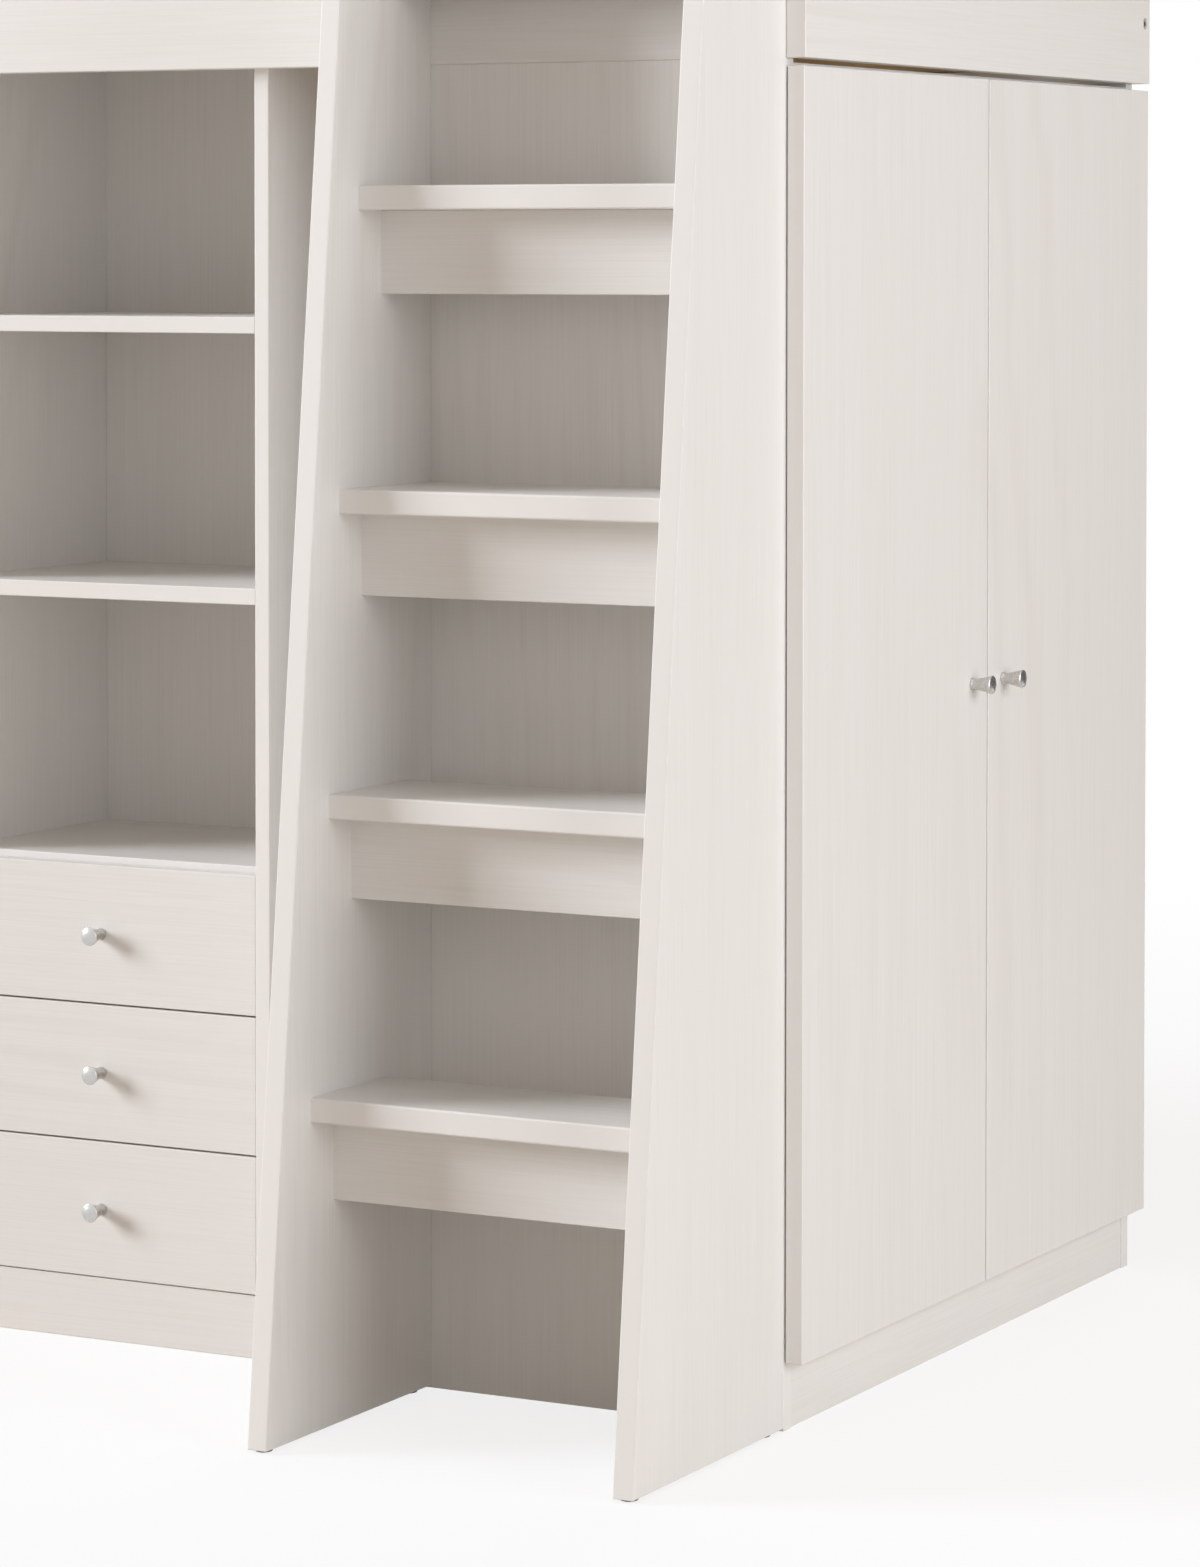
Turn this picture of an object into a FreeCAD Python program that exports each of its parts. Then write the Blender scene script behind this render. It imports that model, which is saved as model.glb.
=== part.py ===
"""Loft bed with desk: a bed deck carried by an end panel, a shelf unit with drawers and a
two-door wardrobe, with a step ladder in front and a desk top in the free bay.

Millimetres. +X is the long side, +Y goes from the ladder to the wall, +Z is up. The shapes
are drawn from the front corner of the wardrobe and moved to the middle of the footprint
when they are written out."""
import FreeCAD, Part
import os

os.makedirs("parts", exist_ok=True)
V = FreeCAD.Vector

# ---- driving dimensions --------------------------------------------------------------
BED_LENGTH, BED_WIDTH = 2000.0, 900.0     # mattress size
BOARD = 18.0                              # wardrobe, shelf unit and fronts
THICK = 22.0                              # bed frame and ladder sides
TREAD_T = 25.0
HEIGHT = 1834.0                           # top edge of the guards
DECK_Z = 1395.0                           # underside of the bed frame
RAIL_H = 180.0
GLIDE = 3.0                               # height of the glides under the ladder
ARRIS = 1.2                               # rounding of the edging

DEPTH = BED_WIDTH + 2 * THICK             # 944
LEFT = -BED_LENGTH                        # inner face of the left end panel
BEARER_Z, BEARER_H, BEARER_W = 1430.0, 35.0, 25.0
SLAT_W, SLAT_T, SLAT_COUNT = 68.0, 18.0, 15

# wardrobe
W_DEEP, W_BACK_T, W_SLOT = 520.0, 8.0, 4.0  # slot: air over the wardrobe top
PLINTH_H = 66.0
DOOR_GAP, DOOR_T = 1.5, 19.0              # air behind the closed doors, their thickness
DOOR_Z0, DOOR_Z1 = 70.0, 1387.0
DOOR_SPLIT = 3.0                          # gap between the two doors
KNOB_FROM_EDGE = 42.0
KNOB_Z = 730.0
HINGE_Z = (170.0, 728.0, 1287.0)
HINGE_IN = 24.0                           # cup centre from the edge of the door

# ladder
LAD_RIGHT, LAD_CLEAR = 0.0, 389.0
LAD_FOOT = 336.0                          # reach of a side at the floor
LAD_SLOPE = 0.1027                        # lean of the front edge
TREAD_TOP = (345.0, 649.0, 958.0, 1267.0, 1575.0)
TREAD_FRONT = (248.5, 212.7, 190.9, 151.0, 121.0)
TREAD_BACK = (98.0, 52.0, 0.0, 0.0, 0.0)
RISER_H, RISER_SET = 86.0, 46.0

# shelf unit with drawers
U_RIGHT, U_INNER, U_DEEP, U_BACK_T = -624.0, 401.0, 338.0, 16.0
U_FRONT = THICK                           # stands behind the front rail
SHELF_Z = (1111.0, 818.5)                 # undersides of the two upper shelves
DRAWER_Z, DRAWER_PITCH, DRAWER_GAP = 69.3, 151.5, 2.0
DRAWER_IN, DRAWER_EXTRA = 2.5, 3.0         # fronts set back, more height of the top front
DRAWER_SIDE, DRAWER_BOTTOM = 14.0, 6.0
DRAWER_DEEP = 297.0

# desk
DESK_TOP_Z, DESK_T, DESK_FRONT = 744.0, 25.0, 300.0

# ---- derived places ------------------------------------------------------------------
U_RI = U_RIGHT - BOARD                    # inner face of the right upright
U_LI = U_RI - U_INNER
U_LEFT = U_LI - BOARD
U_BACK = U_FRONT + U_DEEP
LAD_LI = LAD_RIGHT - THICK - LAD_CLEAR    # inner face of the left ladder side
DOOR_OUT = DOOR_GAP + DOOR_T              # outer face of the doors
KNOB_LEN, KNOB_D, KNOB_BASE_D = 26.0, 20.5, 13.5
X_MIN, X_MAX = LEFT - THICK, DOOR_OUT + KNOB_LEN
CENTRE = V(-(X_MIN + X_MAX) / 2, -(DEPTH - LAD_FOOT) / 2, 0)


def board(x0, x1, y0, y1, z0, z1, run="", arris=ARRIS):
    """A board between two corners, edged all round, or only along run where its ends butt."""
    solid = Part.makeBox(x1 - x0, y1 - y0, z1 - z0, V(x0, y0, z0))
    edges = solid.Edges
    if run:
        way = {"x": V(1, 0, 0), "y": V(0, 1, 0), "z": V(0, 0, 1)}[run]
        edges = [e for e in edges if e.tangentAt(e.FirstParameter).cross(way).Length < 0.01]
    return solid.makeFillet(arris, edges) if arris else solid


def rod(radius, length, base, direction):
    """A round bar from base along direction."""
    return Part.makeCylinder(radius, length, base, direction)


def turned(points, base, direction):
    """A turned solid from (radius, height) points on its axis, set on base along direction."""
    line = [V(r, 0, h) for r, h in points]
    face = Part.Face(Part.makePolygon(line + [line[0]]))
    solid = face.revolve(V(0, 0, 0), V(0, 0, 1), 360)
    solid.Placement = FreeCAD.Placement(base, FreeCAD.Rotation(V(0, 0, 1), direction))
    return solid


def write(name, *solids):
    """Write one node, moved so that the footprint is centred on the origin."""
    shape = solids[0] if len(solids) == 1 else Part.makeCompound(list(solids))
    shape = shape.copy()
    shape.translate(CENTRE)
    shape.exportStep("parts/%s.step" % name)


def knob(base, direction, thick=BOARD):
    """A turned knob that widens to a slightly domed head, and its screw."""
    rb, rh = KNOB_BASE_D / 2, KNOB_D / 2
    profile = [(0, 0), (rb, 0), (rb, 1.5), (rb - 0.9, 3.0), (rb - 0.4, 8.0), (rb + 0.8, 14.0),
               (rh - 0.9, 20.0), (rh, 22.0), (rh, 23.6), (rh - 0.7, 24.9), (rh - 2.4, 25.6),
               (0, KNOB_LEN)]
    body = turned(profile, base, direction)
    body = body.cut(rod(2.0, 10.0, base, direction))
    back = base - direction * thick
    screw = rod(2.0, thick + 10.0, back, direction)
    head = turned([(0, 0), (4.2, 0), (4.2, -1.4), (2.6, -2.3), (0, -2.4)], back, direction)
    return body, screw.fuse(head).removeSplitter()


def knob_hole(base, direction):
    """The clearance bore for a knob's screw."""
    return rod(2.2, 24.0, base - direction * 22, direction)


# ---- end panels, rails and guards ----------------------------------------------------
# bolts with domed socket heads, sunk in the end panels, pull them on to the rails
BOLT_Z, BOLT_LEN, BOLT_SINK, HEAD_R = DECK_Z + 70, 62.0, 5.0, 6.3
bolt_spots = [(THICK, DEPTH - 15, V(1, 0, 0)), (LEFT - THICK, DEPTH - 15, V(-1, 0, 0)),
              (LEFT - THICK, 15, V(-1, 0, 0))]
bolts, nuts, bores = [], [], []
for x, y, way in bolt_spots:
    seat = V(x, y, BOLT_Z) - way * BOLT_SINK
    tip = seat - way * BOLT_LEN
    head = turned([(0, 0), (HEAD_R, 0), (HEAD_R, 1.6), (5.2, 3.2), (3.2, 4.4), (0, 4.9)],
                  seat, way)
    bolts.append(rod(3.0, BOLT_LEN, tip, way).fuse(head).cut(
        rod(2.1, 3.5, seat + way * 2, way)).removeSplitter())
    bores.append(rod(HEAD_R + 0.6, BOLT_SINK + 2, seat, way).fuse(
        rod(3.2, BOLT_LEN + 2, tip - way * 2, way)))
    inward = V(0, 1, 0) if y < DEPTH / 2 else V(0, -1, 0)
    nut_at = V(seat.x, y, BOLT_Z) - way * (BOLT_LEN - 14) - inward * 6
    nuts.append(rod(5.0, 12.0, nut_at, inward).cut(
        rod(3.05, 14, nut_at + inward * 6 - way * 7, way)))
    bores.append(rod(5.1, 18.0, nut_at - inward * 0.5, inward))
drill = bores[0].multiFuse(bores[1:])
write("frame_bolts", *bolts)
write("barrel_nuts", *nuts)
write("left_end_panel", board(LEFT - THICK, LEFT, 0, DEPTH, 0, HEIGHT).cut(drill))
write("right_end_panel", board(0, THICK, 0, DEPTH, DECK_Z, HEIGHT).cut(drill))
rail_z1 = DECK_Z + RAIL_H
write("front_rail", board(LEFT, 0, 0, THICK, DECK_Z, rail_z1, "x").cut(drill))
write("front_guard", board(LEFT, LAD_LI, 0, THICK, rail_z1, HEIGHT))
write("rear_rail", board(LEFT, 0, DEPTH - THICK, DEPTH, DECK_Z, rail_z1, "x").cut(drill))
write("rear_guard", board(LEFT, 0, DEPTH - THICK, DEPTH, rail_z1, HEIGHT, "x"))

# ---- slatted base --------------------------------------------------------------------
write("slat_bearers",
      board(LEFT, 0, THICK, THICK + BEARER_W, BEARER_Z, BEARER_Z + BEARER_H, "x"),
      board(LEFT, 0, DEPTH - THICK - BEARER_W, DEPTH - THICK, BEARER_Z, BEARER_Z + BEARER_H,
            "x"))
slat_z = BEARER_Z + BEARER_H
slat_pitch = (BED_LENGTH - SLAT_W - 40) / (SLAT_COUNT - 1)
slats = []
for i in range(SLAT_COUNT):
    x = LEFT + 20 + i * slat_pitch
    slats.append(board(x, x + SLAT_W, THICK + 4, DEPTH - THICK - 4, slat_z, slat_z + SLAT_T))
write("bed_slats", *slats)
mid = DEPTH / 2
write("centre_beam", board(LEFT, 0, mid - 15, mid + 15, DECK_Z, slat_z, "x"))

# ---- wardrobe ------------------------------------------------------------------------
w_in0, w_in1, top_z = BOARD, DEPTH - BOARD, DECK_Z - W_SLOT
write("wardrobe_front_side", board(-W_DEEP, 0, 0, BOARD, 0, DECK_Z))
write("wardrobe_rear_side", board(-W_DEEP, 0, DEPTH - BOARD, DEPTH, 0, DECK_Z))
write("wardrobe_back", board(-W_DEEP, -W_DEEP + W_BACK_T, w_in0, w_in1, 0, top_z - BOARD,
                             "y", 0.5))
write("wardrobe_top", board(-W_DEEP, -1, w_in0, w_in1, top_z - BOARD, top_z, "y"))
w_front = -W_DEEP + W_BACK_T
write("wardrobe_base", board(w_front, 0, w_in0, w_in1, PLINTH_H, PLINTH_H + BOARD, "y"))
write("wardrobe_plinth", board(-BOARD - 2, -2, w_in0, w_in1, 0, PLINTH_H, "y"))
hat_z, rail_z, rail_x = 1110.0, 1045.0, -260.0
write("hat_shelf", board(w_front, -30, w_in0, w_in1, hat_z, hat_z + BOARD, "y"))
tube = rod(12.5, w_in1 - w_in0 - 6, V(rail_x, w_in0 + 3, rail_z), V(0, 1, 0))
bore = rod(11.3, w_in1 - w_in0 - 6, V(rail_x, w_in0 + 3, rail_z), V(0, 1, 0))
write("clothes_rail", tube.cut(bore))
sockets = []
for y, d in ((w_in0, 1), (w_in1, -1)):
    base, way = V(rail_x, y, rail_z), V(0, d, 0)
    flange = rod(20, 3, base, way)
    collar = rod(16, 14, base, way).cut(rod(12.5, 11, base + way * 3, way))
    sockets.append(flange.fuse(collar).removeSplitter())
write("rail_sockets", *sockets)

# two overlay doors on concealed hinges: cups in the doors, arms on the wardrobe sides
door_mid = DEPTH / 2
doors = {"front": (0.0, door_mid - DOOR_SPLIT / 2, 1), "rear": (door_mid + DOOR_SPLIT / 2, DEPTH, -1)}
out = V(1, 0, 0)
arms = []
for name, (y0, y1, side) in doors.items():
    hinge_y = y0 + HINGE_IN if side > 0 else y1 - HINGE_IN
    knob_y = y1 - KNOB_FROM_EDGE if side > 0 else y0 + KNOB_FROM_EDGE - 2
    knob_at = V(DOOR_OUT, knob_y, KNOB_Z)
    panel = board(DOOR_GAP, DOOR_OUT, y0, y1, DOOR_Z0, DOOR_Z1).cut(knob_hole(knob_at, out))
    cups = []
    for z in HINGE_Z:
        centre = V(DOOR_GAP, hinge_y, z)
        panel = panel.cut(rod(17.5, 11.5, centre, out))
        cup = rod(17.5, 11.5, centre, out).cut(rod(15.0, 10.0, centre, out))
        wing = board(DOOR_GAP - 1.2, DOOR_GAP, hinge_y - 11, hinge_y + 11, z - 26, z + 26,
                     arris=0)
        cups.append(cup.fuse(wing.cut(rod(15.0, 4.0, centre - out * 2, out))).removeSplitter())
        face = BOARD if side > 0 else DEPTH - BOARD
        a, b, c = face, face + side * 3.0, face + side * 13.0
        plate = board(-62, -28, min(a, b), max(a, b), z - 24, z + 24, arris=0)
        arm = board(-60, -2, min(b, c), max(b, c), z - 8, z + 8, arris=0)
        arms.append(plate.fuse(arm).removeSplitter())
    write(name + "_door_panel", panel)
    write(name + "_door_knob", *knob(knob_at, out, DOOR_T))
    write(name + "_door_hinge_cups", *cups)
write("hinge_arms", *arms)

# ---- shelf unit with three drawers -----------------------------------------------------
write("unit_right_side", board(U_RI, U_RIGHT, U_FRONT, U_BACK, 0, BEARER_Z))
write("unit_left_side", board(U_LEFT, U_LI, U_FRONT, U_BACK, 0, BEARER_Z))
u_inback = U_BACK - U_BACK_T
write("unit_back", board(U_LI, U_RI, u_inback, U_BACK, 0, BEARER_Z, "z", 0.5))
write("unit_top", board(U_LI, U_RI, U_FRONT, u_inback, BEARER_Z - BOARD, BEARER_Z, "x"))
write("unit_upper_shelf",
      board(U_LI, U_RI, U_FRONT, u_inback, SHELF_Z[0], SHELF_Z[0] + BOARD, "x"))
write("unit_middle_shelf",
      board(U_LI, U_RI, U_FRONT, u_inback, SHELF_Z[1], SHELF_Z[1] + BOARD, "x"))
drawer_top = DRAWER_Z + 3 * DRAWER_PITCH + DRAWER_EXTRA
drawer_face = U_FRONT + DRAWER_IN
front_back = drawer_face + BOARD          # rear face of the drawer fronts
write("unit_drawer_shelf",
      board(U_LI, U_RI, front_back + 1, u_inback, drawer_top - 11.5, drawer_top + 6.5,
            "x"))
write("unit_base", board(U_LI, U_RI, front_back + 2.5, u_inback, DRAWER_Z - 14, DRAWER_Z + 4, "x"))
write("unit_plinth", board(U_LI, U_RI, drawer_face + 2.5, front_back + 2.5, 0, DRAWER_Z - 0.5, "x"))

towards = V(0, -1, 0)
runners = []
for i in range(3):
    z0 = DRAWER_Z + (2 - i) * DRAWER_PITCH + DRAWER_GAP / 2
    z1 = z0 + DRAWER_PITCH - DRAWER_GAP + (DRAWER_EXTRA if i == 0 else 0)
    x0, x1 = U_LI + 1.5, U_RI - 1.5
    at = V((x0 + x1) / 2, drawer_face, (z0 + z1) / 2)
    front = board(x0, x1, drawer_face, front_back, z0, z1).cut(knob_hole(at, towards))
    write("drawer_%d_front" % (i + 1), front)
    write("drawer_%d_knob" % (i + 1), *knob(at, towards))
    run_z = z0 + 14.5
    for a, b in ((U_LI, U_LI + 12), (U_RI - 12, U_RI)):
        runners.append(board(a, b, front_back + 3, u_inback, run_z - 10, run_z, arris=0))
    sx0, sx1, sz0, sz1 = U_LI + 2, U_RI - 2, run_z + 0.4, z1 - 22
    y0, y1 = front_back, front_back + DRAWER_DEEP
    floor_z = sz0 + 8
    write("drawer_%d_box" % (i + 1),
          board(sx0, sx0 + DRAWER_SIDE, y0, y1, sz0, sz1, arris=0),
          board(sx1 - DRAWER_SIDE, sx1, y0, y1, sz0, sz1, arris=0),
          board(sx0 + DRAWER_SIDE, sx1 - DRAWER_SIDE, y1 - DRAWER_SIDE, y1, sz0, sz1,
                arris=0),
          board(sx0 + DRAWER_SIDE, sx1 - DRAWER_SIDE, y0, y1 - DRAWER_SIDE,
                floor_z, floor_z + DRAWER_BOTTOM, arris=0))
write("drawer_runners", *runners)


# ---- ladder --------------------------------------------------------------------------
def ladder_side(x0):
    """One side of the ladder: upright at the back, leaning at the front, rounded on top."""
    top_y = -LAD_FOOT + LAD_SLOPE * (HEIGHT - GLIDE)
    pts = [V(x0, 0, GLIDE), V(x0, -LAD_FOOT, GLIDE), V(x0, top_y, HEIGHT), V(x0, 0, HEIGHT)]
    solid = Part.Face(Part.makePolygon(pts + [pts[0]])).extrude(V(THICK, 0, 0))
    corner = [e for e in solid.Edges
              if all(abs(v.Z - HEIGHT) < 0.1 and abs(v.Y - top_y) < 0.1 for v in e.Vertexes)]
    solid = solid.makeFillet(30.0, corner)
    return solid.makeFillet(ARRIS, solid.Edges)


write("ladder_left_side", ladder_side(LAD_LI - THICK))
write("ladder_right_side", ladder_side(LAD_RIGHT - THICK))
risers = []
for i, (top, front, back) in enumerate(zip(TREAD_TOP, TREAD_FRONT, TREAD_BACK)):
    x0, x1 = LAD_LI, LAD_LI + LAD_CLEAR
    tread = board(x0, x1, -front, -back, top - TREAD_T, top, arris=0)
    nose = [e for e in tread.Edges if all(abs(v.Y + front) < 0.1 for v in e.Vertexes)
            and abs(e.Vertexes[0].Z - e.Vertexes[1].Z) < 0.1]
    write("tread_%d" % (i + 1), tread.makeFillet(2.5, nose))
    risers.append(board(x0, x1, -front + RISER_SET, -front + RISER_SET + BOARD,
                        top - TREAD_T - RISER_H, top - TREAD_T, "x"))
write("tread_rails", *risers)

# ---- desk ----------------------------------------------------------------------------
desk_under = DESK_TOP_Z - DESK_T
write("desk_top", board(LEFT, U_LEFT, DESK_FRONT, DEPTH - 4, desk_under, DESK_TOP_Z, "x",
                        2.0))
write("desk_side", board(U_LEFT - BOARD, U_LEFT, DESK_FRONT + 20, DEPTH - 4, 0, desk_under))
write("desk_apron", board(LEFT, U_LEFT - BOARD, DEPTH - 84, DEPTH - 66, desk_under - 120,
                          desk_under, "x"))
write("desk_cleat", board(LEFT, LEFT + BOARD, DESK_FRONT + 40, DEPTH - 90, desk_under - 30,
                          desk_under))

# ---- glides --------------------------------------------------------------------------
# domed nail-in glides under both ends of each ladder side
glide_spots = [(x, y) for x in (LAD_LI - THICK / 2, LAD_RIGHT - THICK / 2)
               for y in (-LAD_FOOT + 14, -30)]
write("foot_glides", *[turned([(0, 0), (6.0, 0), (8.6, 0.9), (9.4, 2.0), (9.4, GLIDE), (0, GLIDE)],
                              V(x, y, 0), V(0, 0, 1)) for x, y in glide_spots])
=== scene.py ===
"""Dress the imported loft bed: board finishes, turned fittings, studio and camera.

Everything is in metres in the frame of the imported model: +X along the bed towards the
wardrobe doors, +Y from the ladder to the wall, +Z up.
"""
from __future__ import annotations

import logging
import math
from dataclasses import dataclass, field
from enum import Enum
from typing import Any, Iterable

import bmesh
import bpy
from mathutils import Matrix, Vector

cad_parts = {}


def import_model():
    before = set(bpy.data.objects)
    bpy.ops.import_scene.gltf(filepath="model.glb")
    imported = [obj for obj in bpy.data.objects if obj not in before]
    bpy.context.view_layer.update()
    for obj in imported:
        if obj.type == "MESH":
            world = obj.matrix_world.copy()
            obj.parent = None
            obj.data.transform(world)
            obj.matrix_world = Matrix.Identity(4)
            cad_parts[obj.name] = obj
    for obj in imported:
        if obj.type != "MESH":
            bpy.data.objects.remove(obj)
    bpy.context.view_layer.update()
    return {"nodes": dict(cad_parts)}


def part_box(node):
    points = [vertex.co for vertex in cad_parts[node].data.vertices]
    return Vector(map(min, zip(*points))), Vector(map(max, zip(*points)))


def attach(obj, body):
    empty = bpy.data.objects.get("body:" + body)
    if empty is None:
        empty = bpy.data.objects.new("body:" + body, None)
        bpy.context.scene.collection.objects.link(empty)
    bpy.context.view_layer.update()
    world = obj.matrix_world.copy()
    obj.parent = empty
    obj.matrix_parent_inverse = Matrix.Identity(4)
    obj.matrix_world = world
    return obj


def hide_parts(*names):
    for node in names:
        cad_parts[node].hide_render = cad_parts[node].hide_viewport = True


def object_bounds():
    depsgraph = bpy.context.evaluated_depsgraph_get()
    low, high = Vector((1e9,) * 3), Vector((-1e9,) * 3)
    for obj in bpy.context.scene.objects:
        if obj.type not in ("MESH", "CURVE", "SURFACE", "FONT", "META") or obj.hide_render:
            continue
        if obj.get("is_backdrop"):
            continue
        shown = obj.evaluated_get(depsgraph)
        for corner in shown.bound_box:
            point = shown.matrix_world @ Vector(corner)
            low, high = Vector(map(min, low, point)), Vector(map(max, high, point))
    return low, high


LOG = logging.getLogger("loft_bed")
MM = 0.001


class Axis(Enum):
    """An axis of the frame, by its place in a vector."""

    X = 0
    Y = 1
    Z = 2


# ---- helpers ---------------------------------------------------------------------------
def linear(code: str) -> tuple[float, float, float, float]:
    """Turn an sRGB hex colour into a linear colour.

    Args:
        code: The colour as "#RRGGBB".

    Returns:
        Red, green, blue and alpha.
    """
    parts = [int(code[i:i + 2], 16) / 255 for i in (1, 3, 5)]
    red, green, blue = (c / 12.92 if c <= 0.04045 else ((c + 0.055) / 1.055) ** 2.4
                        for c in parts)
    return red, green, blue, 1.0


def add_node(tree: bpy.types.NodeTree, kind: str, props: dict[str, Any] | None = None,
             inputs: dict[Any, Any] | None = None) -> bpy.types.Node:
    """Add a shader node with its settings and links.

    Args:
        tree: The node tree.
        kind: The node's type name.
        props: Attributes of the node.
        inputs: Socket name or number to a value, or to the output socket linked to it.

    Returns:
        The new node.
    """
    node = tree.nodes.new(kind)
    for key, value in (props or {}).items():
        setattr(node, key, value)
    for key, value in (inputs or {}).items():
        if isinstance(value, bpy.types.NodeSocket):
            tree.links.new(value, node.inputs[key])
        else:
            node.inputs[key].default_value = value
    return node


def new_material(name: str) -> tuple[bpy.types.Material, bpy.types.NodeTree, bpy.types.Node]:
    """Make an empty material with a Principled shader.

    Args:
        name: The material's name.

    Returns:
        The material, its node tree and the shader.
    """
    material = bpy.data.materials.new(name)
    material.use_nodes = True
    tree = material.node_tree
    tree.nodes.clear()
    shader = add_node(tree, "ShaderNodeBsdfPrincipled")
    add_node(tree, "ShaderNodeOutputMaterial", inputs={"Surface": shader.outputs["BSDF"]})
    return material, tree, shader


def stretched(tree: bpy.types.NodeTree, grain: Axis, along_mm: float, across_mm: float,
              detail: float, seed: float) -> bpy.types.NodeSocket:
    """A noise whose features are long streaks.

    Args:
        tree: The node tree.
        grain: The direction of the streaks.
        along_mm: Length of one streak.
        across_mm: Width of one streak.
        detail: Octaves of the noise.
        seed: Shift of the pattern, in streaks.

    Returns:
        The noise value, about 0.5 on average.
    """
    scale = [1000 / across_mm] * 3
    scale[grain.value] = 1000 / along_mm
    place = add_node(tree, "ShaderNodeTexCoord").outputs["Object"]
    mapped = add_node(tree, "ShaderNodeMapping",
                      inputs={"Vector": place, "Scale": scale, "Location": (seed,) * 3})
    noise = add_node(tree, "ShaderNodeTexNoise",
                     inputs={"Vector": mapped.outputs[0], "Scale": 1.0, "Detail": detail})
    return noise.outputs["Fac"]


def remap(tree: bpy.types.NodeTree, value: bpy.types.NodeSocket, low: float, high: float,
          to_low: float, to_high: float) -> bpy.types.NodeSocket:
    """Map a value's range to another, clamped.

    Args:
        tree: The node tree.
        value: The socket to map.
        low: Value that becomes to_low.
        high: Value that becomes to_high.
        to_low: Lowest result.
        to_high: Highest result.

    Returns:
        The mapped socket.
    """
    node = add_node(tree, "ShaderNodeMapRange",
                    inputs={"Value": value, "From Min": low, "From Max": high,
                            "To Min": to_low, "To Max": to_high})
    return node.outputs["Result"]


def mix(tree: bpy.types.NodeTree, factor: bpy.types.NodeSocket, first: Any,
        second: Any) -> bpy.types.NodeSocket:
    """Blend two colours.

    Args:
        tree: The node tree.
        factor: 0 for the first, 1 for the second.
        first: A colour or a colour socket.
        second: A colour or a colour socket.

    Returns:
        The blended colour.
    """
    node = add_node(tree, "ShaderNodeMix", props={"data_type": "RGBA"},
                    inputs={0: factor, 6: first, 7: second})
    return node.outputs[2]


def math_node(tree: bpy.types.NodeTree, operation: str, *values: Any) -> bpy.types.NodeSocket:
    """Combine values by one sum or comparison.

    Args:
        tree: The node tree.
        operation: Blender's name of the operation.
        values: Numbers or sockets, in order.

    Returns:
        The result.
    """
    node = add_node(tree, "ShaderNodeMath", props={"operation": operation},
                    inputs=dict(enumerate(values)))
    return node.outputs[0]


# ---- finishes --------------------------------------------------------------------------
@dataclass(frozen=True)
class MelamineBoard:
    """Melamine-faced chipboard, pressed with a fine ash emboss and edged with ABS.

    The pressed paper gives near-white faces with faint straight streaks and, here and there,
    a flat arch of flame figure; the ABS edging is a little lighter, plain and smoother.
    """

    name: str
    grain: Axis
    through: Axis
    face: str = "#E7E5E2"
    streak: str = "#DFDCD7"
    flame: str = "#DBD7D1"
    edging: str = "#E9E7E4"
    emboss: float = 1.0

    def build(self) -> bpy.types.Material:
        """Make the board's material."""
        material, tree, shader = new_material(self.name)
        # fine pore lines, 2 mm apart; the real ones are under 1 mm and would not show
        lines = stretched(tree, self.grain, 160.0, 2.2, 3.0, 3.1)
        bands = stretched(tree, self.grain, 900.0, 26.0, 2.0, 7.7)
        fine = remap(tree, lines, 0.42, 0.72, 0.0, 0.50 * self.emboss)
        broad = remap(tree, bands, 0.45, 0.72, 0.0, 0.20 * self.emboss)
        face = mix(tree, fine, linear(self.face), linear(self.streak))
        face = mix(tree, broad, face, linear(self.streak))
        face = mix(tree, self.flame_figure(tree), face, linear(self.flame))
        edge = self.edge_mask(tree)
        colour = mix(tree, edge, face, linear(self.edging))
        tree.links.new(colour, shader.inputs["Base Color"])
        rough = remap(tree, lines, 0.3, 0.7, 0.42, 0.52)
        tree.links.new(rough, shader.inputs["Roughness"])
        shader.inputs["IOR"].default_value = 1.5
        plain = math_node(tree, "SUBTRACT", 1.0, edge)
        height = math_node(tree, "MULTIPLY", lines, plain)
        bump = add_node(tree, "ShaderNodeBump",
                        inputs={"Height": height, "Strength": 0.18 * self.emboss,
                                "Distance": 0.12 * MM})
        tree.links.new(bump.outputs["Normal"], shader.inputs["Normal"])
        return material

    def edge_mask(self, tree: bpy.types.NodeTree) -> bpy.types.NodeSocket:
        """Find the edged sides of the board.

        Args:
            tree: The node tree.

        Returns:
            1 on the edging and 0 on the faces.
        """
        normal = add_node(tree, "ShaderNodeTexCoord").outputs["Normal"]
        parts = add_node(tree, "ShaderNodeSeparateXYZ", inputs={"Vector": normal})
        size = math_node(tree, "ABSOLUTE", parts.outputs[self.through.value])
        return math_node(tree, "LESS_THAN", size, 0.85)

    def flame_figure(self, tree: bpy.types.NodeTree) -> bpy.types.NodeSocket:
        """Draw the arches of flat-sawn ash, in patches.

        Args:
            tree: The node tree.

        Returns:
            How much of the darker figure shows.
        """
        place = add_node(tree, "ShaderNodeTexCoord").outputs["Object"]
        scale = [1000 / 120.0] * 3
        scale[self.grain.value] = 1000 / 620.0
        mapped = add_node(tree, "ShaderNodeMapping", inputs={"Vector": place, "Scale": scale})
        rings = add_node(tree, "ShaderNodeTexWave",
                         props={"wave_type": "RINGS", "rings_direction": "SPHERICAL"},
                         inputs={"Vector": mapped.outputs[0], "Scale": 1.4, "Distortion": 5.0,
                                 "Detail": 2.0, "Detail Scale": 0.9})
        patch = stretched(tree, self.grain, 700.0, 240.0, 1.0, 1.3)
        shown = remap(tree, patch, 0.50, 0.68, 0.0, 0.30 * self.emboss)
        crest = remap(tree, rings.outputs["Fac"], 0.55, 1.0, 0.0, 1.0)
        return math_node(tree, "MULTIPLY", shown, crest)


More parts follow.
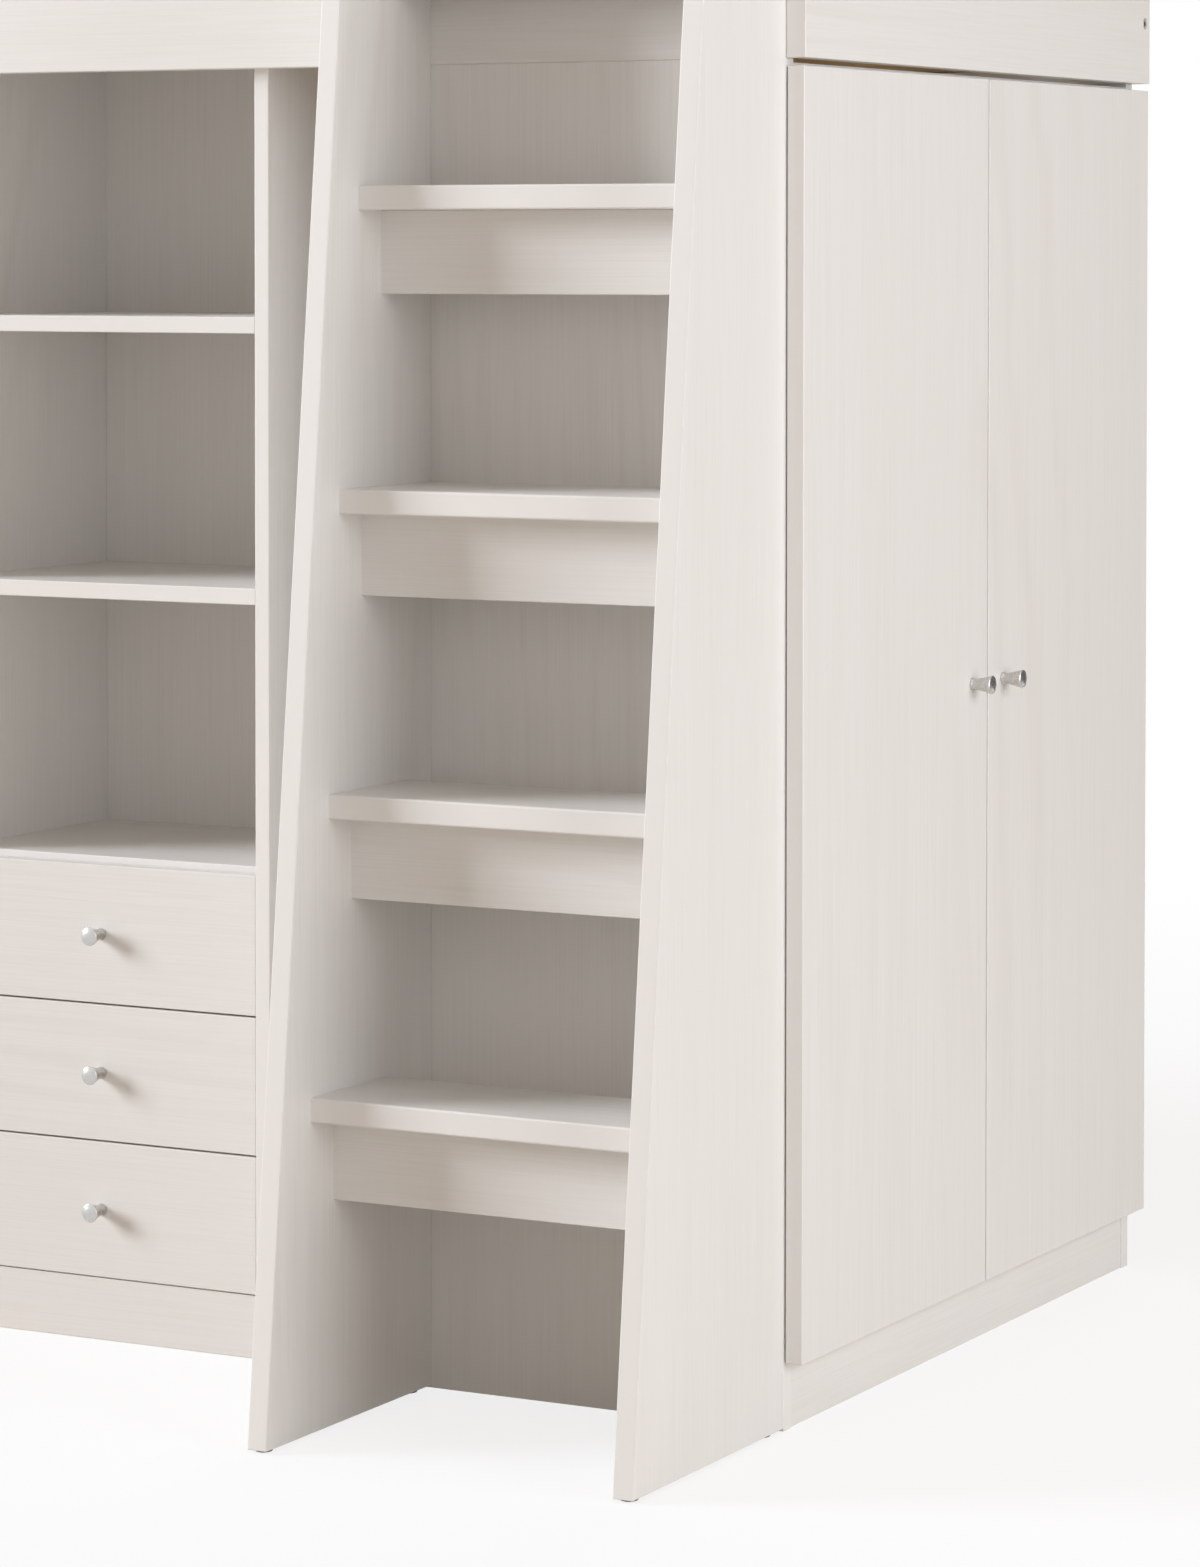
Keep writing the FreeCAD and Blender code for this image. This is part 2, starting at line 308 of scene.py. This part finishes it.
@dataclass(frozen=True)
class PlanedPine:
    """Planed, unlacquered pine: yellowish, with straight annual lines and soft sheen."""

    name: str
    grain: Axis
    early: str = "#E3C79A"
    late: str = "#C39A63"

    def build(self) -> bpy.types.Material:
        """Make the wood's material."""
        material, tree, shader = new_material(self.name)
        rings = stretched(tree, self.grain, 900.0, 7.0, 2.0, 5.0)
        fibre = stretched(tree, self.grain, 60.0, 1.2, 2.0, 9.0)
        late = remap(tree, rings, 0.48, 0.66, 0.0, 0.8)
        colour = mix(tree, late, linear(self.early), linear(self.late))
        colour = mix(tree, remap(tree, fibre, 0.45, 0.75, 0.0, 0.25), colour, linear(self.late))
        tree.links.new(colour, shader.inputs["Base Color"])
        tree.links.new(remap(tree, fibre, 0.3, 0.7, 0.5, 0.68), shader.inputs["Roughness"])
        bump = add_node(tree, "ShaderNodeBump",
                        inputs={"Height": fibre, "Strength": 0.3, "Distance": 0.2 * MM})
        tree.links.new(bump.outputs["Normal"], shader.inputs["Normal"])
        return material


@dataclass(frozen=True)
class Metal:
    """A bare or plated metal: its colour, its sheen and how it was worked.

    Turned metal has fine rings about local Z, and every metal has a cloudy roughness.
    """

    name: str
    colour: str
    rough: float
    turned: bool = False

    def build(self) -> bpy.types.Material:
        """Make the metal's material."""
        material, tree, shader = new_material(self.name)
        shader.inputs["Metallic"].default_value = 1.0
        place = add_node(tree, "ShaderNodeTexCoord").outputs["Object"]
        cloud = add_node(tree, "ShaderNodeTexNoise",
                         inputs={"Vector": place, "Scale": 1000 / 6.0, "Detail": 3.0})
        shade = remap(tree, cloud.outputs["Fac"], 0.3, 0.7, 0.0, 0.18)
        colour = mix(tree, shade, linear(self.colour), linear("#8E8C88"))
        tree.links.new(colour, shader.inputs["Base Color"])
        rough = remap(tree, cloud.outputs["Fac"], 0.3, 0.7, self.rough * 0.85, self.rough * 1.2)
        tree.links.new(rough, shader.inputs["Roughness"])
        if self.turned:
            # tool marks 0.4 mm apart, coarser than real ones so that they show
            rings = add_node(tree, "ShaderNodeTexWave",
                             props={"wave_type": "BANDS", "bands_direction": "Z"},
                             inputs={"Vector": place, "Scale": 1000 / 0.4 / 20,
                                     "Distortion": 0.0})
            bump = add_node(tree, "ShaderNodeBump",
                            inputs={"Height": rings.outputs["Fac"], "Strength": 0.12,
                                    "Distance": 0.02 * MM})
            tree.links.new(bump.outputs["Normal"], shader.inputs["Normal"])
        return material


@dataclass(frozen=True)
class MouldedPlastic:
    """Injection-moulded plastic with a fine spark-eroded grain that takes off the gloss."""

    name: str
    colour: str
    rough: float = 0.45

    def build(self) -> bpy.types.Material:
        """Make the plastic's material."""
        material, tree, shader = new_material(self.name)
        place = add_node(tree, "ShaderNodeTexCoord").outputs["Object"]
        grit = add_node(tree, "ShaderNodeTexNoise",
                        inputs={"Vector": place, "Scale": 1000 / 0.8, "Detail": 2.0})
        shade = remap(tree, grit.outputs["Fac"], 0.3, 0.7, 0.0, 0.12)
        colour = mix(tree, shade, linear(self.colour), linear("#777067"))
        tree.links.new(colour, shader.inputs["Base Color"])
        shader.inputs["Roughness"].default_value = self.rough
        bump = add_node(tree, "ShaderNodeBump",
                        inputs={"Height": grit.outputs["Fac"], "Strength": 0.1,
                                "Distance": 0.05 * MM})
        tree.links.new(bump.outputs["Normal"], shader.inputs["Normal"])
        return material


class Shop:
    """Holds each finish once, and hands it out by name."""

    def __init__(self) -> None:
        """Start with no finishes."""
        self._made: dict[str, bpy.types.Material] = {}

    def get(self, finish: Any) -> bpy.types.Material:
        """Return the finish's material, made on first use."""
        if finish.name not in self._made:
            self._made[finish.name] = finish.build()
        return self._made[finish.name]

    def board(self, grain: Axis, through: Axis) -> bpy.types.Material:
        """Return the board finish with that grain and thickness direction."""
        name = f"melamine_board_ash_{grain.name}_{through.name}".lower()
        return self.get(MelamineBoard(name, grain, through))

    def smooth_board(self, grain: Axis, through: Axis) -> bpy.types.Material:
        """Return the plain drawer board's finish, with hardly any emboss."""
        name = f"melamine_board_plain_{grain.name}_{through.name}".lower()
        return self.get(MelamineBoard(name, grain, through, face="#E7E6E3", edging="#E9E8E5",
                                      emboss=0.3))

    def pine(self, grain: Axis) -> bpy.types.Material:
        """Return planed pine with that grain."""
        return self.get(PlanedPine(f"planed_pine_{grain.name}".lower(), grain))


TURNED_ALUMINIUM = Metal("anodised_aluminium_turned", "#CBC9C6", 0.26, turned=True)
CHROMED_STEEL = Metal("chromed_steel_tube", "#DAD9D7", 0.08)
NICKELLED_STEEL = Metal("nickel_plated_steel", "#C4BEB6", 0.16)
ZINC_STEEL = Metal("zinc_plated_steel", "#B8B7B4", 0.36)
WHITE_ABS = MouldedPlastic("abs_white_moulded", "#E4E2DE", 0.38)
BROWN_POLYPROPYLENE = MouldedPlastic("polypropylene_brown_moulded", "#4A382B", 0.42)


def paint(nodes: dict[str, bpy.types.Object], names: Iterable[str],
          material: bpy.types.Material) -> None:
    """Give carried-over CAD nodes one finish.

    Args:
        nodes: The CAD nodes by name.
        names: The nodes to dress.
        material: Their finish.
    """
    for name in names:
        slots = nodes[name].data.materials
        slots.clear()
        slots.append(material)
        LOG.info("dressed %s in %s", name, material.name)


def lathe(name: str, profile: list[tuple[float, float]], base: Vector, way: Vector,
          material: bpy.types.Material, body: str, steps: int = 96) -> bpy.types.Object:
    """Turn a closed profile about its axis and place it.

    Args:
        name: The piece's name.
        profile: (radius, height) points in millimetres, from the axis to the axis.
        base: Where the profile's zero height lies.
        way: The direction of growing height.
        material: The finish.
        body: The CAD body it rides on.
        steps: Facets round the axis.

    Returns:
        The new piece.
    """
    mesh = bpy.data.meshes.new(name)
    work = bmesh.new()
    rings = []
    for radius, height in profile:
        if radius < 1e-6:
            rings.append([work.verts.new((0, 0, height * MM))])
            continue
        turn = [2 * math.pi * i / steps for i in range(steps)]
        rings.append([work.verts.new((radius * MM * math.cos(a), radius * MM * math.sin(a),
                                      height * MM)) for a in turn])
    for low, high in zip(rings, rings[1:]):
        for i in range(steps):
            j = (i + 1) % steps
            corners = [low[i % len(low)], low[j % len(low)], high[j % len(high)],
                       high[i % len(high)]]
            unique = list(dict.fromkeys(corners))
            if len(unique) > 2:
                work.faces.new(unique)
    bmesh.ops.recalc_face_normals(work, faces=work.faces)
    work.to_mesh(mesh)
    work.free()
    mesh.shade_smooth()
    mesh.set_sharp_from_angle(angle=math.radians(32))
    mesh.materials.append(material)
    piece = bpy.data.objects.new(name, mesh)
    bpy.context.scene.collection.objects.link(piece)
    turn_to = Vector((0, 0, 1)).rotation_difference(way).to_matrix().to_4x4()
    piece.matrix_world = Matrix.Translation(base) @ turn_to
    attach(piece, body)
    LOG.info("built %s on %s", name, body)
    return piece


def arc(centre: tuple[float, float], radius: float, start: float, end: float,
        count: int = 8) -> list[tuple[float, float]]:
    """Points of an arc in a profile.

    Args:
        centre: (radius, height) of the arc's centre.
        radius: The arc's radius.
        start: First angle in degrees, from the outward direction.
        end: Last angle.
        count: Number of steps.

    Returns:
        The points, ends included.
    """
    angles = [math.radians(start + (end - start) * i / count) for i in range(count + 1)]
    return [(centre[0] + radius * math.cos(a), centre[1] + radius * math.sin(a))
            for a in angles]


# ---- sub-assemblies --------------------------------------------------------------------
@dataclass
class Knob:
    """A turned knob: a foot ring, a waist, a flare and a rounded, slightly domed head."""

    node: str
    body: str
    way: Vector
    foot_d: float = 13.5
    waist_d: float = 12.0
    head_d: float = 20.5
    length: float = 26.0
    rim: float = 1.5

    def profile(self) -> list[tuple[float, float]]:
        """Outline of the knob from its foot to its head."""
        foot, waist, head = self.foot_d / 2, self.waist_d / 2, self.head_d / 2
        flare = [(waist + (head - 0.7 - waist) * t ** 1.4, 4.6 + 16.8 * t)
                 for t in (i / 10 for i in range(11))]
        rim = arc((head - self.rim, self.length - 2.6), self.rim, -30, 90, 10)
        points = [(0, 0), (foot - 0.2, 0), (foot, 0.2), (foot - 0.05, 1.2),
                  (foot - 0.3, 2.2), (waist + 0.15, 3.3)]
        dome = [(head - self.rim - 2.0, self.length - 0.7), (head * 0.5, self.length - 0.25),
                (head * 0.2, self.length - 0.03), (0, self.length)]
        return points + flare + rim + dome

    def build(self, shop: Shop) -> None:
        """Make the knob and the screw head behind the front.

        Args:
            shop: The finishes.
        """
        low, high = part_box(self.node)
        axis = max(range(3), key=lambda i: abs(self.way[i]))
        middle = (low + high) / 2
        tip = high if self.way[axis] > 0 else low
        base = middle.copy()
        base[axis] = tip[axis] - self.way[axis] * self.length * MM
        knob = lathe(self.node + "_turned", self.profile(), base, self.way,
                     shop.get(TURNED_ALUMINIUM), self.body)
        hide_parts(self.node)
        back = middle.copy()
        back[axis] = low[axis] if self.way[axis] > 0 else high[axis]
        head = [(0, 2.4), (4.0, 2.4)] + arc((2.8, 1.2), 1.2, 60, -60, 6) + [(1.9, 0.1),
                (1.9, 1.0), (0, 1.0)]
        screw = lathe(self.node + "_screw_head", head, back, self.way,
                      shop.get(ZINC_STEEL), self.body, steps=40)


@dataclass
class BedDeck:
    """End panels, rails, guards, slats and the bolts that hold them."""

    nodes: dict[str, bpy.types.Object]
    shop: Shop

    def dress(self) -> None:
        """Give every piece of the deck its finish."""
        board, pine = self.shop.board, self.shop.pine
        paint(self.nodes, ["left_end_panel"], board(Axis.Z, Axis.X))
        paint(self.nodes, ["right_end_panel"], board(Axis.Y, Axis.X))
        paint(self.nodes, ["front_rail", "front_guard", "rear_rail", "rear_guard"],
              board(Axis.X, Axis.Y))
        paint(self.nodes, ["slat_bearers", "centre_beam"], pine(Axis.X))
        paint(self.nodes, ["bed_slats"], pine(Axis.Y))
        paint(self.nodes, ["frame_bolts"], self.shop.get(NICKELLED_STEEL))
        paint(self.nodes, ["barrel_nuts"], self.shop.get(ZINC_STEEL))


@dataclass
class Wardrobe:
    """The carcass, its fittings and its two doors."""

    nodes: dict[str, bpy.types.Object]
    shop: Shop
    doors: tuple[str, ...] = ("front_door", "rear_door")

    def build(self) -> None:
        """Make the turned door knobs."""
        for door in self.doors:
            Knob(door + "_knob", door, Vector((1, 0, 0))).build(self.shop)

    def dress(self) -> None:
        """Give every piece of the wardrobe its finish."""
        board = self.shop.board
        paint(self.nodes, ["wardrobe_front_side", "wardrobe_rear_side"], board(Axis.Z, Axis.Y))
        paint(self.nodes, ["wardrobe_back"], board(Axis.Z, Axis.X))
        paint(self.nodes, ["wardrobe_top", "wardrobe_base", "hat_shelf"],
              board(Axis.Y, Axis.Z))
        paint(self.nodes, ["wardrobe_plinth"], board(Axis.Y, Axis.X))
        paint(self.nodes, [d + "_panel" for d in self.doors], board(Axis.Z, Axis.X))
        paint(self.nodes, [d + "_hinge_cups" for d in self.doors] + ["hinge_arms"],
              self.shop.get(ZINC_STEEL))
        paint(self.nodes, ["clothes_rail"], self.shop.get(CHROMED_STEEL))
        paint(self.nodes, ["rail_sockets"], self.shop.get(WHITE_ABS))


@dataclass
class ShelfUnit:
    """The open compartments and the three drawers."""

    nodes: dict[str, bpy.types.Object]
    shop: Shop
    drawers: tuple[str, ...] = ("drawer_1", "drawer_2", "drawer_3")

    def build(self) -> None:
        """Make the turned drawer knobs."""
        for drawer in self.drawers:
            Knob(drawer + "_knob", drawer, Vector((0, -1, 0))).build(self.shop)

    def dress(self) -> None:
        """Give every piece of the unit its finish."""
        board = self.shop.board
        paint(self.nodes, ["unit_right_side", "unit_left_side"], board(Axis.Z, Axis.X))
        paint(self.nodes, ["unit_back"], board(Axis.Z, Axis.Y))
        paint(self.nodes, ["unit_top", "unit_upper_shelf", "unit_middle_shelf",
                           "unit_drawer_shelf", "unit_base"], board(Axis.X, Axis.Z))
        paint(self.nodes, ["unit_plinth"] + [d + "_front" for d in self.drawers],
              board(Axis.X, Axis.Y))
        paint(self.nodes, [d + "_box" for d in self.drawers],
              self.shop.smooth_board(Axis.Y, Axis.X))
        paint(self.nodes, ["drawer_runners"], self.shop.pine(Axis.Y))


@dataclass
class Ladder:
    """The tapering sides, the treads and the boards under them."""

    nodes: dict[str, bpy.types.Object]
    shop: Shop
    treads: int = 5

    def dress(self) -> None:
        """Give every piece of the ladder its finish."""
        board = self.shop.board
        paint(self.nodes, ["ladder_left_side", "ladder_right_side"], board(Axis.Z, Axis.X))
        paint(self.nodes, [f"tread_{i + 1}" for i in range(self.treads)],
              board(Axis.X, Axis.Z))
        paint(self.nodes, ["tread_rails"], board(Axis.X, Axis.Y))
        paint(self.nodes, ["foot_glides"], self.shop.get(BROWN_POLYPROPYLENE))


@dataclass
class Desk:
    """The desk top with its side, apron and cleat."""

    nodes: dict[str, bpy.types.Object]
    shop: Shop

    def dress(self) -> None:
        """Give every piece of the desk its finish."""
        board = self.shop.board
        paint(self.nodes, ["desk_top"], board(Axis.X, Axis.Z))
        paint(self.nodes, ["desk_side"], board(Axis.Z, Axis.X))
        paint(self.nodes, ["desk_apron"], board(Axis.X, Axis.Y))
        paint(self.nodes, ["desk_cleat"], board(Axis.Y, Axis.X))


# ---- studio ----------------------------------------------------------------------------
@dataclass
class Studio:
    """White floor, white surround, soft lamps and the camera."""

    floor_size: float = 60.0
    floor_colour: str = "#DACEBE"
    ambient: float = 0.20
    ambient_colour: str = "#FFDCB4"
    lamp_colour: str = "#F4F8FF"
    key_watts: float = 1440.0
    side_watts: float = 222.0
    front_watts: float = 34.0
    top_watts: float = 40.0
    rear_watts: float = 130.0
    lens_mm: float = 114.5
    yaw_deg: float = 28.51
    pitch_deg: float = 1.833
    camera_from_corner: Vector = field(
        default_factory=lambda: Vector((2.166, -4.5496, 1.2032)))
    shift: tuple[float, float] = (0.0511, -0.24)

    def corner(self) -> Vector:
        """Front corner of the wardrobe at the doors, on the floor."""
        low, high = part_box("wardrobe_front_side")
        return Vector((high.x, low.y, 0))

    def floor(self) -> None:
        """Lay the white floor, which keeps a soft shadow."""
        mesh = bpy.data.meshes.new("studio_floor")
        half = self.floor_size / 2
        mesh.from_pydata([(-half, -half, 0), (half, -half, 0), (half, half, 0),
                          (-half, half, 0)], [], [(0, 1, 2, 3)])
        material = bpy.data.materials.new("studio_floor_white_vinyl")
        material.use_nodes = True
        tree = material.node_tree
        tree.nodes.clear()
        path = add_node(tree, "ShaderNodeLightPath")
        seen = math_node(tree, "MAXIMUM", path.outputs["Is Camera Ray"],
                         math_node(tree, "MAXIMUM", path.outputs["Is Glossy Ray"],
                                   path.outputs["Is Transmission Ray"]))
        # scuffs a hand wide, only seen by the light that bounces off the floor
        place = add_node(tree, "ShaderNodeTexCoord").outputs["Object"]
        scuff = add_node(tree, "ShaderNodeTexNoise", inputs={"Vector": place, "Scale": 9.0})
        grey = mix(tree, remap(tree, scuff.outputs["Fac"], 0.4, 0.6, 0.0, 1.0),
                   linear(self.floor_colour), linear("#D3CABE"))
        cover = mix(tree, seen, grey, linear("#FAFAF9"))
        matt = add_node(tree, "ShaderNodeBsdfDiffuse", inputs={"Color": cover})
        glow = add_node(tree, "ShaderNodeEmission",
                        inputs={"Color": (1, 1, 1, 1), "Strength": 1.0})
        # plain white from 1.6 m outwards, a soft shadow nearer
        away = add_node(tree, "ShaderNodeVectorMath", props={"operation": "LENGTH"},
                        inputs={0: place}).outputs["Value"]
        white = remap(tree, away, 1.6, 4.0, 0.80, 1.0)
        part = math_node(tree, "MULTIPLY", seen, white)
        both = add_node(tree, "ShaderNodeMixShader",
                        inputs={0: part, 1: matt.outputs[0], 2: glow.outputs[0]})
        add_node(tree, "ShaderNodeOutputMaterial", inputs={"Surface": both.outputs[0]})
        mesh.materials.append(material)
        floor = bpy.data.objects.new("studio_floor", mesh)
        bpy.context.scene.collection.objects.link(floor)
        floor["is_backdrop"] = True

    def world(self) -> None:
        """Light the room evenly; the camera and reflections see plain white."""
        world = bpy.data.worlds.new("studio_surround")
        bpy.context.scene.world = world
        world.use_nodes = True
        tree = world.node_tree
        tree.nodes.clear()
        path = add_node(tree, "ShaderNodeLightPath")
        seen = math_node(tree, "MAXIMUM", path.outputs["Is Camera Ray"],
                         math_node(tree, "MAXIMUM", path.outputs["Is Glossy Ray"],
                                   path.outputs["Is Transmission Ray"]))
        level = math_node(tree, "MULTIPLY_ADD", seen, 1.0 - self.ambient, self.ambient)
        tint = mix(tree, seen, linear(self.ambient_colour), (1.0, 1.0, 1.0, 1.0))
        back = add_node(tree, "ShaderNodeBackground",
                        inputs={"Color": tint, "Strength": level})
        add_node(tree, "ShaderNodeOutputWorld", inputs={"Surface": back.outputs[0]})

    def lamp(self, name: str, offset: Vector, size: float, watts: float, colour: str) -> None:
        """Hang one soft lamp that points at the middle of the bed.

        Args:
            name: The lamp's name.
            offset: Where it hangs from the middle of the bed.
            size: Its side.
            watts: Its power.
            colour: Its colour.
        """
        low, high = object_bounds()
        middle = (Vector(low) + Vector(high)) / 2
        data = bpy.data.lights.new(name, "AREA")
        data.size, data.energy = size, watts
        data.color = linear(colour)[:3]
        lamp = bpy.data.objects.new(name, data)
        lamp.location = middle + offset
        lamp.rotation_euler = (-offset).to_track_quat("-Z", "Y").to_euler()
        bpy.context.scene.collection.objects.link(lamp)

    def flag(self) -> None:
        """Stand a grey cloth behind the doors, which gives the metal its dark side."""
        mesh = bpy.data.meshes.new("studio_flag")
        mesh.from_pydata([(1.2, 3.6, 0.0), (6.5, 3.0, 0.0), (6.5, 3.0, 3.2), (1.2, 3.6, 3.2)],
                         [], [(0, 1, 2, 3)])
        material, tree, shader = new_material("studio_flag_grey_felt")
        place = add_node(tree, "ShaderNodeTexCoord").outputs["Object"]
        nap = add_node(tree, "ShaderNodeTexNoise", inputs={"Vector": place, "Scale": 400.0})
        tree.links.new(mix(tree, nap.outputs["Fac"], linear("#6B6966"), linear("#75726E")),
                       shader.inputs["Base Color"])
        shader.inputs["Roughness"].default_value = 1.0
        mesh.materials.append(material)
        flag = bpy.data.objects.new("studio_flag", mesh)
        bpy.context.scene.collection.objects.link(flag)
        flag.visible_camera = flag.visible_diffuse = flag.visible_shadow = False
        flag.visible_transmission = flag.visible_volume_scatter = False
        flag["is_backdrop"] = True

    def camera(self) -> None:
        """Stand the camera in front of the wardrobe corner, looking along the ladder."""
        data = bpy.data.cameras.new("studio_camera")
        data.lens = self.lens_mm
        data.shift_x, data.shift_y = self.shift
        data.clip_end = 200.0
        camera = bpy.data.objects.new("studio_camera", data)
        camera.location = self.corner() + self.camera_from_corner
        camera.rotation_euler = (math.radians(90 - self.pitch_deg), 0,
                                 math.radians(self.yaw_deg))
        bpy.context.scene.collection.objects.link(camera)
        bpy.context.scene.camera = camera

    def build(self) -> None:
        """Set up floor, surround, lamps and camera."""
        self.floor()
        self.world()
        self.lamp("key_lamp", Vector((-9.7, -5.9, 3.6)), 4.6, self.key_watts, self.lamp_colour)
        self.lamp("side_lamp", Vector((5.8, -1.0, 0.9)), 4.0, self.side_watts, self.lamp_colour)
        self.lamp("front_lamp", Vector((3.3, -5.1, 0.7)), 4.0, self.front_watts, self.lamp_colour)
        self.lamp("top_lamp", Vector((0.0, -1.45, 4.8)), 4.0, self.top_watts, self.lamp_colour)
        self.lamp("rear_lamp", Vector((-1.5, 6.5, 1.6)), 4.0, self.rear_watts, self.lamp_colour)
        self.flag()
        self.camera()
        bpy.context.scene.view_settings.view_transform = "Standard"


def main() -> None:
    """Build every sub-assembly and the studio."""
    logging.basicConfig(level=logging.INFO, format="%(name)s %(message)s")
    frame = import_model()
    shop = Shop()
    nodes = frame["nodes"]
    for part in (BedDeck(nodes, shop), Wardrobe(nodes, shop), ShelfUnit(nodes, shop),
                 Ladder(nodes, shop), Desk(nodes, shop)):
        LOG.info("sub-assembly %s", type(part).__name__)
        if hasattr(part, "build"):
            part.build()
        part.dress()
    Studio().build()


if __name__ == "__main__":
    main()
